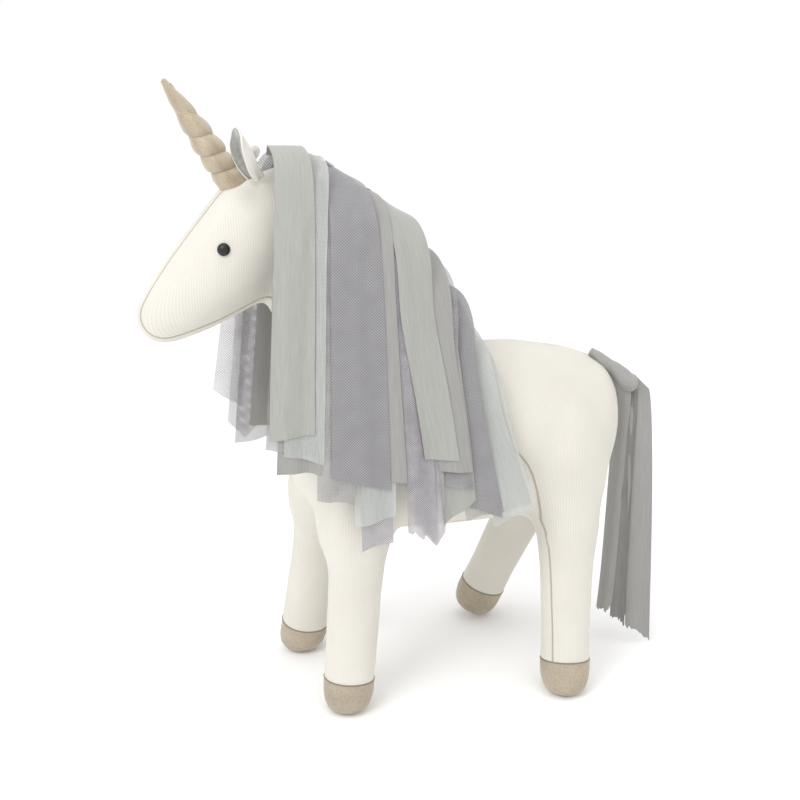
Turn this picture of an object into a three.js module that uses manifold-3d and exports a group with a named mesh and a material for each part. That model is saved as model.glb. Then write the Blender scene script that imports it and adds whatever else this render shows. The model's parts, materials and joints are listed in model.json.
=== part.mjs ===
// A standing plush unicorn: jersey skins over fibre filling, linen hooves, a thread-wound satin horn,
// lined ears, button eyes, and a mane and tail of hanging tulle and chiffon locks.
// Millimetres. +Z is up, the unicorn faces -X, its left side is -Y, and the floor is z = 0.
// All the sizes below are measured from the body's mid-plane, y = 0.
import * as THREE from "three";
import { mergeVertices } from "three/addons/utils/BufferGeometryUtils.js";
import Module from "manifold-3d";

const wasm = await Module();
wasm.setup();

// ---------- driving dimensions ----------
const SKIN = 1.5; // jersey and its seam allowance
const GAP = 0.3; // between a skin and its filling, and between neighbouring panels
const CLEAR = 0.7; // between the neck and the torso, which flex against each other
const LEG_CLEAR = 2.8; // between a leg and its socket in the torso
const LEG_SWING = 10; // degrees each way that a leg flexes at the shoulder or hip

const ORIGIN_TO_BODY = [8, 3, 0]; // from the middle of the floor outline to the body's own origin

// Stations are [x, y, z, half in the section's own plane, half across].
const TORSO = [
  [-72, 0, 163, 38, 30],
  [-52, 0, 162, 54, 43],
  [-20, 0, 162, 60, 47],
  [20, 0, 162, 61, 47],
  [60, 0, 161, 60, 47],
  [90, 0, 158, 56.5, 45],
  [110.5, 0, 154, 52, 40],
];
const NECK = [
  [-34, 0, 190, 44, 40],
  [-39.5, 0, 218, 44, 37],
  [-52, 0, 251.5, 41.5, 33],
  [-67.5, 0, 281, 37.5, 29],
  [-80.5, 0, 303.5, 33, 26],
  [-89, 0, 316, 25, 21],
];
const HEAD = [
  [-84, 0, 307, 29, 24],
  [-99.1, 0, 297.2, 35, 27],
  [-117.5, 0, 281, 31.2, 26],
  [-137, 0, 266, 25.8, 23],
  [-150.3, 0, 256, 20.8, 20],
  [-156.6, 0, 251.6, 17.8, 18],
];
const NECK_PIVOT = [-36, 0, 208];
const NECK_BALL = 52;

// A leg's outline: height above the sole and radius.
const HOOF_HEIGHT = 21;
const HOOF_OUTLINE = [
  [0, 10],
  [1.6, 13],
  [6, 15.8],
  [13, 16.8],
  [HOOF_HEIGHT, 16.6],
];
const FORELEG = [...HOOF_OUTLINE, [45, 16.8], [70, 17.2], [92, 18.4]];
const HINDLEG = [...HOOF_OUTLINE, [42, 16.3], [68, 17.6], [90, 19.6]];
const HIP_HEIGHT = 108;
const LEGS = {
  front_left: { outline: FORELEG, hip: [-49, -30], foot: [-61, -44], ball: 20.5 },
  front_right: { outline: FORELEG, hip: [-56, 30], foot: [-72.5, 44], ball: 20.5 },
  rear_left: { outline: HINDLEG, hip: [89, -34], foot: [79, -64], ball: 23 },
  rear_right: {
    outline: HINDLEG,
    hip: [96, 36],
    foot: [96, 36],
    ball: 23,
    length: 113.2,
    lean: [20, 12],
  },
};

const HORN = { base: [-115, 0, 329], tip: [-149.4, 0, 383.5], radius: 8.2, tipRadius: 1.4, turns: 5.2 };
const HORN_SKIN = 0.8;
const HORN_SUNK = 12; // the horn's sides run this far down past its base and are trimmed by the head
const EYE = {
  at: [-123, 24.6, 291],
  out: [-0.19, 0.95, 0.25],
  radius: 3.7,
  rise: 2.4,
  shank: 1.4,
  length: 11,
};
const WASHER = { radius: 6, low: -6.2, high: -5 };
const EAR_HALF_WIDTH = 14;
const EAR_FOLD = 10; // degrees each way that an ear folds at its foot
const EARS = {
  left: { base: [-98.5, -19, 333.5], tip: [-111.5, -23, 357.5], facing: [-0.8, -0.6, -0.3] },
  right: { base: [-102, 19.5, 332.5], tip: [-92, 45, 336], facing: [-0.5, 0.1, 0.85] }, // laid out and back
};
const HEAD_GUSSET = 7.5; // half width of the strip over the forehead, nose and chin
const BELLY_GUSSET = 22; // half width of the belly panel
const BELLY_TOP = 140; // the belly panel stays below this height
// The crest of the mane from the poll, down the back of the neck, to the withers: x and z.
const CREST = [
  [-92, 338.5],
  [-67, 335],
  [-46.5, 320],
  [-29.5, 301.5],
  [-15, 279.5],
  [-3.5, 256],
  [9, 238.5],
  [24, 229.5],
];
const TAIL_ROOT = [114.5, -3, 213.3];
const TAIL_KNEE = [142, -14, 190];

const COLOURS = {
  jersey: [0xf3eee2, 0.9],
  fibre: [0xffffff, 1.0],
  linen: [0xb5a895, 0.9],
  satin: [0xb9a98e, 0.5],
  velvet: [0xa3a39e, 0.8],
  plastic: [0x0b0b0b, 0.25],
  chiffon: [0xa9aba6, 0.7],
  tulle: [0xa9a6ac, 0.8],
  thread: [0xd9cdb5, 0.6],
};

// ---------- geometry helpers ----------
const vec = (a) => new THREE.Vector3(...a);
const across = new THREE.Vector3(0, 1, 0);

// The side wall of a form through rings of points.
function wallOf(rings) {
  const sides = rings[0].length;
  const index = [];
  for (let r = 0; r + 1 < rings.length; r++)
    for (let s = 0; s < sides; s++) {
      const a = r * sides + s;
      const b = r * sides + ((s + 1) % sides);
      index.push(a, b, b + sides, a, b + sides, a + sides);
    }
  return index;
}

// A closed geometry from round rings of points, its two ends closed by fans.
function closedRings(rings) {
  const sides = rings[0].length;
  const points = rings.flat();
  const index = wallOf(rings);
  [rings[0], rings[rings.length - 1]].forEach((ring, end) => {
    const centre = ring.reduce((sum, p) => sum.add(p), new THREE.Vector3()).divideScalar(sides);
    const start = end ? (rings.length - 1) * sides : 0;
    for (let s = 0; s < sides; s++) {
      const a = start + s;
      const b = start + ((s + 1) % sides);
      index.push(...(end ? [a, b, points.length] : [b, a, points.length]));
    }
    points.push(centre);
  });
  return facingOut(new THREE.BufferGeometry().setFromPoints(points).setIndex(index));
}

// A closed geometry from flat rings that run out along one face and back along the other.
// Its ends are strips.
function closedFlatRings(rings) {
  const sides = rings[0].length;
  const index = wallOf(rings);
  for (const start of [0, (rings.length - 1) * sides])
    for (let s = 0; s < sides / 2 - 1; s++) {
      const [a, b, c, d] = [s, s + 1, sides - 2 - s, sides - 1 - s].map((k) => start + k);
      index.push(...(start ? [a, b, c, a, c, d] : [a, c, b, a, d, c]));
    }
  return facingOut(new THREE.BufferGeometry().setFromPoints(rings.flat()).setIndex(index));
}

// The same geometry with its faces turned outward.
function facingOut(geometry) {
  const p = geometry.getAttribute("position");
  const index = geometry.getIndex().array;
  const [a, b, c] = [new THREE.Vector3(), new THREE.Vector3(), new THREE.Vector3()];
  let volume = 0;
  for (let i = 0; i < index.length; i += 3) {
    a.fromBufferAttribute(p, index[i]);
    b.fromBufferAttribute(p, index[i + 1]);
    c.fromBufferAttribute(p, index[i + 2]);
    volume += a.dot(b.cross(c));
  }
  const isInsideOut = volume < 0;
  for (let i = 0; isInsideOut && i < index.length; i += 3) {
    [index[i], index[i + 1]] = [index[i + 1], index[i]];
  }
  return geometry;
}

function solid(geometry) {
  const bare = geometry.clone();
  bare.deleteAttribute("normal");
  bare.deleteAttribute("uv");
  const merged = mergeVertices(bare, 1e-4);
  return new wasm.Manifold(
    new wasm.Mesh({
      numProp: 3,
      vertProperties: Float32Array.from(merged.attributes.position.array),
      triVerts: Uint32Array.from(merged.index.array),
    }),
  );
}

function geometryOf(made) {
  const mesh = made.getMesh();
  return new THREE.BufferGeometry()
    .setAttribute("position", new THREE.BufferAttribute(Float32Array.from(mesh.vertProperties), 3))
    .setIndex(new THREE.BufferAttribute(Uint32Array.from(mesh.triVerts), 1));
}

// The largest separate body of a solid, without the slivers that a cut can leave.
function mainBody(made) {
  return made.decompose().reduce((best, body) => (body.volume() > best.volume() ? body : best));
}

// The group's origin is on the floor under the middle of the whole outline.
// The body's own mid-plane is off it.
const group = new THREE.Group();
const unicorn = new THREE.Group();
unicorn.position.set(...ORIGIN_TO_BODY);
group.add(unicorn);

function addPiece(name, geometry, colour) {
  const [hex, roughness] = COLOURS[colour];
  const material = new THREE.MeshStandardMaterial({ color: hex, roughness, metalness: 0 });
  const mesh = new THREE.Mesh(geometry, material);
  mesh.name = name;
  unicorn.add(mesh);
  return mesh;
}
const addSolid = (name, made, colour) => addPiece(name, geometryOf(mainBody(made)), colour);

// A block between two corners, as a solid.
function block(low, high) {
  const size = vec(high).sub(vec(low));
  const centre = vec(low).add(vec(high)).multiplyScalar(0.5);
  return solid(new THREE.BoxGeometry(...size).translate(...centre));
}

// A smooth closed form through stations, with a rounded end on each side where domes is not 0.
// Sections stand square to the spine, or lie level if level is true.
function limb(stations, { sides = 20, inset = 0, domes = [1, 1], level = false }) {
  const spine = new THREE.CatmullRomCurve3(stations.map((s) => vec(s)));
  const halves = new THREE.CatmullRomCurve3(stations.map((s) => new THREE.Vector3(s[3], s[4], 0)));
  const count = stations.length - 1;
  const ringAt = (t, scale, shift) => {
    const centre = spine.getPoint(t);
    const along = level ? new THREE.Vector3(0, 0, 1) : spine.getTangent(t);
    const up = level
      ? new THREE.Vector3(1, 0, 0)
      : new THREE.Vector3().crossVectors(along, across).normalize();
    const half = halves.getPoint(t);
    centre.addScaledVector(along, shift * (Math.min(half.x, half.y) - inset));
    return Array.from({ length: sides }, (_, s) => {
      const angle = (2 * Math.PI * s) / sides;
      return centre
        .clone()
        .addScaledVector(up, Math.cos(angle) * (half.x - inset) * scale)
        .addScaledVector(across, Math.sin(angle) * (half.y - inset) * scale);
    });
  };
  const domeRings = (t, rise) =>
    [0.4, 0.76].map((share) => {
      const angle = share * (Math.PI / 2);
      return ringAt(t, Math.cos(angle), rise * Math.sin(angle));
    });
  return closedRings([
    ...(domes[0] ? domeRings(0, -domes[0]).reverse() : []),
    ...Array.from({ length: count + 1 }, (_, i) => ringAt(i / count, 1, 0)),
    ...(domes[1] ? domeRings(1, domes[1]) : []),
  ]);
}

// A sheet with thickness: place(u, v) gives its inner face, and lift(u, v) the vector to its outer face.
function slab(place, lift, nu, nv) {
  const rings = [];
  for (let j = 0; j <= nv; j++) {
    const inner = [];
    const outer = [];
    for (let i = 0; i <= nu; i++) {
      const p = place(i / nu, j / nv);
      inner.push(p);
      outer.unshift(p.clone().add(lift(i / nu, j / nv)));
    }
    rings.push([...inner, ...outer]);
  }
  return closedFlatRings(rings);
}

// A solid turned about a line through a point.
function turned(made, pivot, axis, degrees) {
  const turn = new THREE.Matrix4().makeRotationAxis(vec(axis).normalize(), THREE.MathUtils.degToRad(degrees));
  const placed = new THREE.Matrix4()
    .makeTranslation(...pivot)
    .multiply(turn)
    .multiply(new THREE.Matrix4().makeTranslation(...pivot.map((x) => -x)));
  return made.transform(placed.elements.slice());
}

// Puts the +Y axis of a turned piece on the given direction from the given point.
function upright(at, direction) {
  const turn = new THREE.Quaternion().setFromUnitVectors(across, direction);
  return new THREE.Matrix4()
    .makeTranslation(...at)
    .multiply(new THREE.Matrix4().makeRotationFromQuaternion(turn));
}

// ---------- legs ----------
const TALL = 500; // more than the whole unicorn, for blocks that stand for half of space

// A leg is made standing on its sole, with its hip ball at the height of its own length.
// It is then set at its hip.
function setLeg({ hip, length = HIP_HEIGHT, lean = [0, 0] }, made) {
  const pivot = [...hip, HIP_HEIGHT];
  const lowered = made.translate([0, 0, HIP_HEIGHT - length]);
  return turned(turned(lowered, pivot, [0, 1, 0], lean[0]), pivot, [1, 0, 0], lean[1]);
}

// The leg's outer form, or that form inset. Spread widens it fore and aft with the distance below the hip.
function legForm(leg, inset, spread = 0) {
  const { outline, hip, foot, ball, length = HIP_HEIGHT } = leg;
  const stations = [...outline, [length, ball]].map(([z, r]) => {
    const share = z / length;
    const x = foot[0] + (hip[0] - foot[0]) * share;
    const y = foot[1] + (hip[1] - foot[1]) * share;
    return [x, y, z, r + spread * (length - z), r];
  });
  stations[0][2] += Math.max(inset, 0);
  return setLeg(leg, solid(limb(stations, { sides: 12, inset, domes: [0, 1], level: true })));
}

// Half of space on one side of the seam plane, which holds the leg's axis and runs fore and aft.
function besideSeam(leg, side) {
  const { hip, foot, length = HIP_HEIGHT } = leg;
  const near = foot[1] + (side * GAP) / 2;
  const far = near + side * TALL;
  const half = block([-TALL, Math.min(near, far), -TALL], [TALL, Math.max(near, far), TALL]);
  const slope = THREE.MathUtils.radToDeg(Math.atan2(hip[1] - foot[1], length));
  return setLeg(leg, turned(half, [0, foot[1], 0], [1, 0, 0], -slope));
}

// Adds a leg's skins, filling and hoof, and gives the room that the leg needs in the torso.
function addLeg(name, leg) {
  const shell = legForm(leg, 0).subtract(legForm(leg, SKIN));
  const outward = Math.sign(leg.foot[1]);
  const isHoof = setLeg(leg, block([-TALL, -TALL, -TALL], [TALL, TALL, HOOF_HEIGHT - GAP / 2]));
  const isLeg = setLeg(leg, block([-TALL, -TALL, HOOF_HEIGHT + GAP / 2], [TALL, TALL, TALL]));
  const skin = shell.intersect(isLeg);
  addSolid(`leg_${name}_outer_panel`, skin.intersect(besideSeam(leg, outward)), "jersey");
  addSolid(`leg_${name}_inner_panel`, skin.intersect(besideSeam(leg, -outward)), "jersey");
  addSolid(`leg_${name}_filling`, legForm(leg, SKIN + GAP), "fibre");
  addSolid(`hoof_${name}`, shell.intersect(isHoof), "linen");
  return legForm(leg, -LEG_CLEAR, Math.tan(THREE.MathUtils.degToRad(LEG_SWING)));
}
const legRoom = Object.entries(LEGS).map(([name, leg]) => addLeg(name, leg));

// ---------- neck and head ----------
// The foot of the neck is part of a ball about the pivot, faired into the shoulders.
const ball = (inset) => {
  const geometry = new THREE.SphereGeometry(NECK_BALL - inset, 20, 10).rotateX(Math.PI / 2);
  return solid(geometry.translate(...NECK_PIVOT));
};
const torsoForm = (inset) => solid(limb(TORSO, { sides: 20, inset, domes: [0.42, 0.45] }));
const neckForm = (inset) =>
  solid(limb(NECK, { sides: 16, inset, domes: [0.5, 0.8] }))
    .add(solid(limb(HEAD, { sides: 16, inset, domes: [0.6, 1] })))
    .add(ball(inset).intersect(torsoForm(inset)));
const neckOuter = neckForm(0);
const sockets = legRoom.reduce((all, room) => all.add(room), ball(-CLEAR));

// ---------- torso ----------
const torsoShell = torsoForm(0).subtract(torsoForm(SKIN)).subtract(sockets);
const belly = block([-TALL, -BELLY_GUSSET, 0], [TALL, BELLY_GUSSET, BELLY_TOP]);
const bellyCut = block([-TALL, -BELLY_GUSSET - GAP, 0], [TALL, BELLY_GUSSET + GAP, BELLY_TOP + GAP]);
const leftHalf = block([-TALL, -TALL, -TALL], [TALL, -GAP / 2, TALL]);
const rightHalf = block([-TALL, GAP / 2, -TALL], [TALL, TALL, TALL]);
addSolid("torso_left_panel", torsoShell.intersect(leftHalf).subtract(bellyCut), "jersey");
addSolid("torso_right_panel", torsoShell.intersect(rightHalf).subtract(bellyCut), "jersey");
addSolid("belly_gusset", torsoShell.intersect(belly), "jersey");
addSolid("torso_filling", torsoForm(SKIN + GAP).subtract(sockets), "fibre");

// ---------- head skins, filling and eyes ----------
// A turned piece about the +Y axis through a profile of radius and height, set in place.
function turnedOn(place, profile, sides) {
  const points = profile.map(([x, y]) => new THREE.Vector2(x, y));
  return new THREE.LatheGeometry(points, sides).applyMatrix4(place);
}

// An eye is a domed button on a shank, with a locking washer inside the head.
// The room is what the filling and the skins leave free for both.
function eyeParts(side) {
  const mirror = new THREE.Vector3(1, side, 1);
  const place = upright(vec(EYE.at).multiply(mirror), vec(EYE.out).multiply(mirror).normalize());
  const { radius, rise, shank, length } = EYE;
  const rim = 0.9;
  const button = [
    [0, -length],
    [shank, -length],
    [shank, rim],
    [radius, rim],
    [radius * 0.94, rim + rise * 0.45],
    [radius * 0.6, rim + rise * 0.85],
    [0, rim + rise],
  ];
  const hole = shank + GAP;
  const washer = [
    [hole, WASHER.low],
    [WASHER.radius, WASHER.low],
    [WASHER.radius, WASHER.high],
    [hole, WASHER.high],
    [hole, WASHER.low],
  ];
  const slack = 0.4;
  const room = [
    [0, -length - 1],
    [hole, -length - 1],
    [hole, WASHER.low - slack],
    [WASHER.radius + slack, WASHER.low - slack],
    [WASHER.radius + slack, WASHER.high + slack],
    [hole, WASHER.high + slack],
    [hole, 6],
    [0, 6],
  ];
  return {
    button: turnedOn(place, button, 12),
    washer: turnedOn(place, washer, 12),
    room: solid(turnedOn(place, room, 12)),
  };
}
const eyes = { left: eyeParts(-1), right: eyeParts(1) };
const eyeRoom = eyes.left.room.add(eyes.right.room);

const neckShell = neckOuter.subtract(neckForm(SKIN)).subtract(eyeRoom);
// The gusset runs over the forehead, round the nose and down the throat.
// It ends at a line from the poll to the chest.
const front = (grow) => {
  const outline = new THREE.Shape([
    new THREE.Vector2(-240, 420),
    new THREE.Vector2(-96 + grow, 420),
    new THREE.Vector2(-96 + grow, 300),
    new THREE.Vector2(-60 + grow, 240),
    new THREE.Vector2(-60 + grow, 120),
    new THREE.Vector2(-240, 120),
  ]);
  const half = HEAD_GUSSET + grow;
  const geometry = new THREE.ExtrudeGeometry(outline, { depth: 2 * half, bevelEnabled: false });
  return solid(geometry.rotateX(Math.PI / 2).translate(0, half, 0));
};
addSolid("head_left_panel", neckShell.intersect(leftHalf).subtract(front(GAP)), "jersey");
addSolid("head_right_panel", neckShell.intersect(rightHalf).subtract(front(GAP)), "jersey");
addSolid("head_gusset", neckShell.intersect(front(0)), "jersey");
addSolid("head_filling", neckForm(SKIN + GAP).subtract(eyeRoom), "fibre");
for (const [side, { button, washer }] of Object.entries(eyes)) {
  addPiece(`eye_${side}`, button, "plastic");
  addPiece(`eye_${side}_washer`, washer, "plastic");
}

// ---------- horn ----------
const hornAxis = vec(HORN.tip).sub(vec(HORN.base));
const hornLength = hornAxis.length();
const hornPlace = upright(HORN.base, hornAxis.normalize());
const hornRadius = (h) => HORN.tipRadius + (HORN.radius - HORN.tipRadius) * (1 - (h / hornLength) ** 2.2);

// The horn's form between two heights along its axis, inset from its cover.
function hornForm(inset, low, high) {
  const steps = 6;
  const profile = [[0, low]];
  for (let k = 0; k <= steps; k++) {
    const h = low + ((high - low) * k) / steps;
    profile.push([Math.max(hornRadius(Math.max(h, 0)) - inset, 0.4), h]);
  }
  profile.push([0, high]);
  return solid(turnedOn(hornPlace, profile, 14));
}
const headClear = neckForm(-GAP);
const HORN_END = 3; // solid cloth at the tip
const hornHollow = hornForm(HORN_SKIN, -HORN_SUNK - 2, hornLength - HORN_END);
const hornFilling = hornForm(HORN_SKIN + GAP, -HORN_SUNK - 2, hornLength - HORN_END - GAP);
addSolid("horn_cover", hornForm(0, -HORN_SUNK, hornLength).subtract(hornHollow).subtract(headClear), "satin");
addSolid("horn_filling", hornFilling.subtract(headClear), "fibre");

class HornHelix extends THREE.Curve {
  getPoint(t, target = new THREE.Vector3()) {
    const h = 4 + (hornLength - 7) * t;
    const angle = 2 * Math.PI * HORN.turns * (1 - (1 - t) ** 1.15);
    const r = hornRadius(h) + 0.9;
    return target.set(r * Math.cos(angle), h, r * Math.sin(angle)).applyMatrix4(hornPlace);
  }
}
const threadSection = new THREE.Shape().absarc(0, 0, 0.45, 0, 2 * Math.PI);
const winding = { steps: Math.round(HORN.turns * 10), curveSegments: 3, extrudePath: new HornHelix() };
addPiece("horn_thread", new THREE.ExtrudeGeometry(threadSection, winding), "thread");

// ---------- ears ----------
// An ear is a leaf rolled into a cup round its long axis: cream jersey outside and velvet inside.
function earLeaf(ear, inset, thickness) {
  const base = vec(ear.base);
  const axis = vec(ear.tip).sub(base);
  const height = axis.length();
  axis.normalize();
  const facing = vec(ear.facing);
  facing.addScaledVector(axis, -facing.dot(axis)).normalize();
  const sideways = new THREE.Vector3().crossVectors(axis, facing);
  const width = (v) => EAR_HALF_WIDTH * Math.sin(Math.PI * (0.22 + 0.68 * v)) ** 0.8;
  const outward = (u, v) => {
    const roll = (u - 0.5) * 2 * (1.9 - 1.0 * v);
    return facing.clone().multiplyScalar(-Math.cos(roll)).addScaledVector(sideways, Math.sin(roll));
  };
  const place = (u, v) => {
    const radius = width(v) / (1.9 - 1.0 * v);
    const centre = base.clone().addScaledVector(axis, v * height).addScaledVector(facing, radius);
    return centre.addScaledVector(outward(u, v), Math.max(radius - inset, 0.3));
  };
  return slab(place, (u, v) => outward(u, v).multiplyScalar(thickness), 7, 5);
}
for (const [side, ear] of Object.entries(EARS)) {
  // The foot of the ear is cut clear of the head at both ends of its fold.
  const hinge = new THREE.Vector3().crossVectors(vec(ear.tip).sub(vec(ear.base)), vec(ear.facing)).toArray();
  const foldedHeads = [-EAR_FOLD, EAR_FOLD].map((way) => turned(headClear, ear.base, hinge, way));
  const room = foldedHeads.reduce((all, head) => all.add(head), headClear);
  addSolid(`ear_${side}_outer`, solid(earLeaf(ear, 0, 1.3)).subtract(room), "jersey");
  addSolid(`ear_${side}_lining`, solid(earLeaf(ear, 1.2, 0.9)).subtract(room), "velvet");
}

// ---------- mane ----------
// The crest line runs down the back of the neck from the poll (t = 0) to the withers (t = 1).
const crestLine = new THREE.CatmullRomCurve3(CREST.map(([x, z]) => new THREE.Vector3(x, 0, z)));
function crestOut(t) {
  const tangent = crestLine.getTangent(t);
  return new THREE.Vector3(-tangent.z, 0, tangent.x).normalize();
}
const TAPE = { half: 3.6, thick: 1.4, from: 0.02, to: 0.8 };
addPiece(
  "mane_tape",
  slab(
    (u, v) => {
      const t = TAPE.from + (TAPE.to - TAPE.from) * v;
      return crestLine.getPoint(t).add(new THREE.Vector3(0, (u - 0.5) * 2 * TAPE.half, 0));
    },
    (u, v) => crestOut(TAPE.from + (TAPE.to - TAPE.from) * v).multiplyScalar(TAPE.thick),
    2,
    16,
  ),
  "chiffon",
);

// A lock hangs from a stretch of the crest over one side.
// Side and flare are how far out it lies at the neck and foot.
const LOCK_THICK = 5;
const LOCKS = {
  front: { crest: [0.03, 0.2], foot: [-106, -79], low: 180, side: 45, flare: 50 },
  middle: { crest: [0.25, 0.47], foot: [-74, -39], low: 140, side: 52, flare: 60 },
  rear: { crest: [0.52, 0.74], foot: [-34, -7], low: 108, side: 54, flare: 63 },
  withers: { crest: [0.79, 0.95], foot: [0, 44], low: 122, side: 53, flare: 62 },
};
// The right front lock hangs beside the ear and further forward, under the jaw.
const RIGHT_FRONT = { ...LOCKS.front, crest: [0.07, 0.2], foot: [-122, -84], low: 150 };

function lockSurface(lock, way) {
  const { crest, foot, low, side, flare } = lock;
  const lineAt = (u) => {
    const top = crestLine.getPoint(crest[0] + (crest[1] - crest[0]) * u);
    const footX = foot[0] + (foot[1] - foot[0]) * u;
    const shoulderX = top.x + (footX - top.x) * 0.18;
    return new THREE.CatmullRomCurve3([
      new THREE.Vector3(top.x, way * 5, top.z + 1.6),
      new THREE.Vector3(shoulderX, way * (5 + 0.52 * (side - 5)), top.z - 8),
      new THREE.Vector3(top.x + (footX - top.x) * 0.45, way * side, top.z - 34),
      new THREE.Vector3(footX, way * flare, low),
    ]);
  };
  return {
    place: (u, v) => lineAt(u).getPoint(v),
    lift: (u, v) => {
      const run = lineAt(u).getTangent(v);
      return new THREE.Vector3(0, -way * run.z, way * run.y).normalize().multiplyScalar(LOCK_THICK);
    },
  };
}
for (const [name, lock] of Object.entries(LOCKS)) {
  const cloth = name === "middle" || name === "rear" ? "tulle" : "chiffon";
  const right = name === "front" ? RIGHT_FRONT : lock;
  for (const [side, way, shape] of [["left", -1, lock], ["right", 1, right]]) {
    const { place, lift } = lockSurface(shape, way);
    addPiece(`mane_${side}_${name}`, slab(place, lift, 3, 9), cloth);
  }
}

// ---------- tail ----------
const tailRun = vec(TAIL_KNEE).sub(vec(TAIL_ROOT));
const wrapAt = (share, half, wide) => [...vec(TAIL_ROOT).addScaledVector(tailRun, share), half, wide];
const wrapStations = [wrapAt(0.14, 2.6, 7), wrapAt(0.5, 4, 9), wrapAt(0.9, 4, 9)];
addPiece("tail_wrap", limb(wrapStations, { sides: 12, domes: [0.6, 0.6] }), "tulle");
const TAIL_LOCKS = {
  outer: { top: [146.5, -15, 178], foot: [152, -20, 4], half: [3.5, 6], wide: [8, 12] },
  middle: { top: [140.3, -14, 178], foot: [139.8, -16, 16], half: [2, 3.6], wide: [8, 11] },
  inner: { top: [136, -13, 178], foot: [130.6, -12, 28], half: [1.6, 3.4], wide: [7, 10] },
};
for (const [name, { top, foot, half, wide }] of Object.entries(TAIL_LOCKS)) {
  const stations = [0, 0.3, 0.65, 1].map((share) => [
    ...vec(foot).lerp(vec(top), share),
    half[1] + (half[0] - half[1]) * share,
    wide[1] + (wide[0] - wide[1]) * share,
  ]);
  addPiece(`tail_lock_${name}`, limb(stations, { sides: 12, domes: [0, 0.5], level: true }), "chiffon");
}

export default group;
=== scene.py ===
import json
import math
import random

import bmesh
import bpy
import numpy as np
from mathutils import Matrix, Vector, noise
from mathutils.bvhtree import BVHTree


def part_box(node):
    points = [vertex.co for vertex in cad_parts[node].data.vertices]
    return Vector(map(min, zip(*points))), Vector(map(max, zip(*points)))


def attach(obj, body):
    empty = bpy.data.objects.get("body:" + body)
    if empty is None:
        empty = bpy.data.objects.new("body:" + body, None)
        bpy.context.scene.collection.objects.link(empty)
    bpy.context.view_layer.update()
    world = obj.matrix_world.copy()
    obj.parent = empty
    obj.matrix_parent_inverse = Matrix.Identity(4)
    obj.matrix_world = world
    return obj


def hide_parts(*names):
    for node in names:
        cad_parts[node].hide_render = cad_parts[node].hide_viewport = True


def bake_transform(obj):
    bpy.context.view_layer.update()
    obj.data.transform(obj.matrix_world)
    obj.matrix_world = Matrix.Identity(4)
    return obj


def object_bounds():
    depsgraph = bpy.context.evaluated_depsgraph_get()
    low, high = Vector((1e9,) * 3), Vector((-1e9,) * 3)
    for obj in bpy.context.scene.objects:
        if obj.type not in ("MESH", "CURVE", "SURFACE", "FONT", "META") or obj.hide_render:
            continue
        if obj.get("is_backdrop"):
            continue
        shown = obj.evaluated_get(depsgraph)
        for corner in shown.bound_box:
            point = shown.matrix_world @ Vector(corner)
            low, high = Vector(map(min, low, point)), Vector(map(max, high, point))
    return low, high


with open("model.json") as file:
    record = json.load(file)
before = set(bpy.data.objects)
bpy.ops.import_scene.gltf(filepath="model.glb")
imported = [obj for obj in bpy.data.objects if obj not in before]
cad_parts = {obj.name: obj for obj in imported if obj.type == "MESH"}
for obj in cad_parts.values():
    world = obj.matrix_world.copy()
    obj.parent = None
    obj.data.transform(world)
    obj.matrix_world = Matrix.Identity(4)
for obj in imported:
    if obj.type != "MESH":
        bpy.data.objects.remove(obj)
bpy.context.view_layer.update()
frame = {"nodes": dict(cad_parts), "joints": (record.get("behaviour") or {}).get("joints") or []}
MM = 0.001

# ---------- places, from the frame ----------
GUSSET_LOW, GUSSET_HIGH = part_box("head_gusset")
MID_Y = (GUSSET_LOW.y + GUSSET_HIGH.y) / 2
NOSE_X = GUSSET_LOW.x
NOSE_TO_ORIGIN = 173.9
PIVOTS = {j["child"]: Vector(j["pos_m"]) for j in frame["joints"]}
LEGS = ["front_left", "front_right", "rear_left", "rear_right"]


def at(x, y, z):
    """A point given in mm from the body's own origin, on the floor in its mid-plane."""
    return Vector((NOSE_X + (x + NOSE_TO_ORIGIN) * MM, MID_Y + y * MM, z * MM))


def body_mm(p):
    """The x and z of a point, in mm from the body's own origin."""
    return (p.x - NOSE_X) / MM - NOSE_TO_ORIGIN, p.z / MM


# ---------- material helpers ----------
def new_material(name):
    m = bpy.data.materials.new(name)
    m.use_nodes = True
    nodes = m.node_tree.nodes
    return m, nodes, m.node_tree.links, nodes["Principled BSDF"]


def math_node(nodes, links, kind, a, b=None, c=None):
    n = nodes.new("ShaderNodeMath")
    n.operation = kind
    for socket, value in zip(n.inputs, (a, b, c)):
        if value is None:
            continue
        if isinstance(value, (int, float)):
            socket.default_value = value
        else:
            links.new(value, socket)
    return n.outputs[0]


def ramp(nodes, links, factor, stops):
    r = nodes.new("ShaderNodeValToRGB")
    r.color_ramp.elements[0].position, r.color_ramp.elements[0].color = stops[0][0], (*stops[0][1], 1)
    r.color_ramp.elements[1].position, r.color_ramp.elements[1].color = stops[-1][0], (*stops[-1][1], 1)
    for position, colour in stops[1:-1]:
        r.color_ramp.elements.new(position).color = (*colour, 1)
    links.new(factor, r.inputs[0])
    return r.outputs[0]


def noise_at(nodes, links, vector, scale, detail=3.0, rough=0.5):
    n = nodes.new("ShaderNodeTexNoise")
    n.inputs["Scale"].default_value = scale
    n.inputs["Detail"].default_value = detail
    n.inputs["Roughness"].default_value = rough
    if vector is not None:
        links.new(vector, n.inputs["Vector"])
    return n.outputs["Fac"]


def bump(nodes, links, height, strength, distance, normal=None):
    b = nodes.new("ShaderNodeBump")
    b.inputs["Strength"].default_value = strength
    b.inputs["Distance"].default_value = distance
    links.new(height, b.inputs["Height"])
    if normal is not None:
        links.new(normal, b.inputs["Normal"])
    return b.outputs["Normal"]


def attribute(nodes, name):
    a = nodes.new("ShaderNodeAttribute")
    a.attribute_name = name
    return a


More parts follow.
